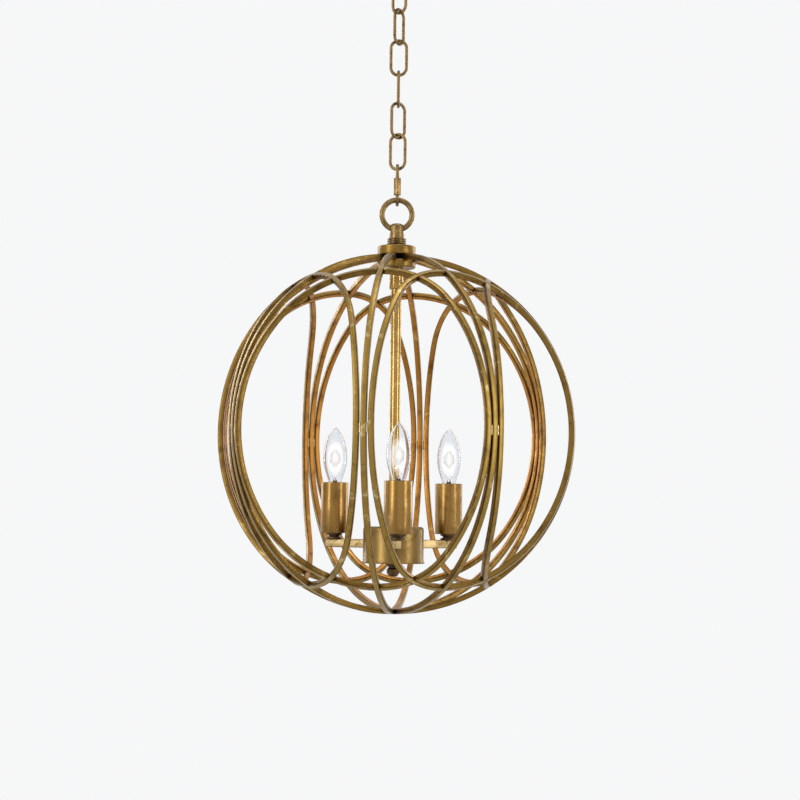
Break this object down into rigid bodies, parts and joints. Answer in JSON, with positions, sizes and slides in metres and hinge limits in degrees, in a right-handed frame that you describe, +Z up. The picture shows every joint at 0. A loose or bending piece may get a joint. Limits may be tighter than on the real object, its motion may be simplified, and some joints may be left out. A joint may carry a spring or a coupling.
{
  "type": "orb chandelier",
  "caption": "Round open cage of square bar hanging on a chain from a ceiling canopy, with upright candle lamps on arms inside it.",
  "frame": {"origin": "middle of the two ceiling box screws, in the plane of the ceiling", "axes": "+Z up into the ceiling; -Y is the side that the picture shows, +X is to its right"},
  "size_m": [0.4546, 0.4546, 0.8726],
  "materials": {
    "gold_leaf": "aged gold leaf, satin, mottled, with dark edges",
    "candle_gold": "satin gold",
    "aged_brass": "darkened antique brass, satin",
    "socket_shell": "moulded phenolic, matt",
    "bulb_cap_metal": "bright drawn brass",
    "bulb_glass": "clear glass",
    "strap_steel": "zinc plated"
  },
  "bodies": {
    "ceiling_mount": {"canopy": "gold_leaf", "canopy_strap": "strap_steel", "canopy_nipple": "aged_brass", "canopy_ring": "gold_leaf", "canopy_loop": "aged_brass"},
    "link_1": {"chain_link_1": "aged_brass"},
    "link_2": {"chain_link_2": "aged_brass"},
    "link_3": {"chain_link_3": "aged_brass"},
    "link_4": {"chain_link_4": "aged_brass"},
    "link_5": {"chain_link_5": "aged_brass"},
    "link_6": {"chain_link_6": "aged_brass"},
    "quick_link": {"quick_link": "aged_brass"},
    "quick_link_nut": {"quick_link_nut": "aged_brass"},
    "top_ring": {"top_ring": "aged_brass"},
    "bulb_1": {"bulb_glass_1": "bulb_glass", "bulb_cap_1": "bulb_cap_metal"},
    "bulb_2": {"bulb_glass_2": "bulb_glass", "bulb_cap_2": "bulb_cap_metal"},
    "bulb_3": {"bulb_glass_3": "bulb_glass", "bulb_cap_3": "bulb_cap_metal"},
    "lantern": {"arm_1": "gold_leaf", "arm_2": "gold_leaf", "arm_3": "gold_leaf", "bow_ends_lower": "gold_leaf", "bow_ends_upper": "gold_leaf", "candle_sleeve_1": "candle_gold", "candle_sleeve_2": "candle_gold", "candle_sleeve_3": "candle_gold", "cluster_cup": "gold_leaf", "collar_flange": "aged_brass", "cup_finial": "gold_leaf", "equator_welds": "gold_leaf", "hub_disc_lower": "gold_leaf", "hub_disc_upper": "gold_leaf", "lamp_socket_1": "socket_shell", "lamp_socket_2": "socket_shell", "lamp_socket_3": "socket_shell", "loop_1": "gold_leaf", "loop_2": "gold_leaf", "loop_3": "gold_leaf", "loop_4": "gold_leaf", "loop_5": "gold_leaf", "loop_6": "gold_leaf", "loop_7": "gold_leaf", "loop_8": "gold_leaf", "rib_1": "gold_leaf", "rib_2": "gold_leaf", "rib_3": "gold_leaf", "rib_4": "gold_leaf", "rib_5": "gold_leaf", "rib_6": "gold_leaf", "rib_7": "gold_leaf", "rib_8": "gold_leaf", "screw_collar": "aged_brass", "socket_fitting_1": "gold_leaf", "socket_fitting_2": "gold_leaf", "socket_fitting_3": "gold_leaf", "stem_coupling": "gold_leaf", "stem_tube": "gold_leaf"}
  },
  "joints": [
    {"name": "link_1_swing", "type": "hinge", "parent": "ceiling_mount", "child": "link_1", "pos_m": [0, 0, -0.0605], "axis": [0.5592, 0.829, 0], "range_deg": [-25, 25]},
    {"name": "link_2_swing", "type": "hinge", "parent": "link_1", "child": "link_2", "pos_m": [0, 0, -0.10085], "axis": [0.829, -0.5592, 0], "range_deg": [-25, 25]},
    {"name": "link_3_swing", "type": "hinge", "parent": "link_2", "child": "link_3", "pos_m": [0, 0, -0.1417], "axis": [0.5592, 0.829, 0], "range_deg": [-25, 25]},
    {"name": "link_4_swing", "type": "hinge", "parent": "link_3", "child": "link_4", "pos_m": [0, 0, -0.18255], "axis": [1, 0, 0], "range_deg": [-25, 25]},
    {"name": "link_5_swing", "type": "hinge", "parent": "link_4", "child": "link_5", "pos_m": [0, 0, -0.2234], "axis": [0, 1, 0], "range_deg": [-25, 25]},
    {"name": "link_6_swing", "type": "hinge", "parent": "link_5", "child": "link_6", "pos_m": [0, 0, -0.26425], "axis": [0.829, 0.5592, 0], "range_deg": [-25, 25]},
    {"name": "quick_link_swing", "type": "hinge", "parent": "link_6", "child": "quick_link", "pos_m": [0, 0, -0.3051], "axis": [0.9397, -0.342, 0], "range_deg": [-25, 25]},
    {"name": "top_ring_swing", "type": "hinge", "parent": "quick_link", "child": "top_ring", "pos_m": [0, 0, -0.351], "axis": [0, 1, 0], "range_deg": [-25, 25]},
    {"name": "lantern_swing", "type": "hinge", "parent": "top_ring", "child": "lantern", "pos_m": [0, 0, -0.3833], "axis": [1, 0, 0], "range_deg": [-25, 25]},
    {"name": "nut_travel", "type": "slide", "parent": "quick_link", "child": "quick_link_nut", "axis": [0, 0, 1], "range_m": [0, 0.0084]},
    {"name": "bulb_1_out", "type": "slide", "parent": "lantern", "child": "bulb_1", "axis": [0, 0, 1], "range_m": [0, 0.02615]},
    {"name": "bulb_2_out", "type": "slide", "parent": "lantern", "child": "bulb_2", "axis": [0, 0, 1], "range_m": [0, 0.02615]},
    {"name": "bulb_3_out", "type": "slide", "parent": "lantern", "child": "bulb_3", "axis": [0, 0, 1], "range_m": [0, 0.02615]}
  ]
}
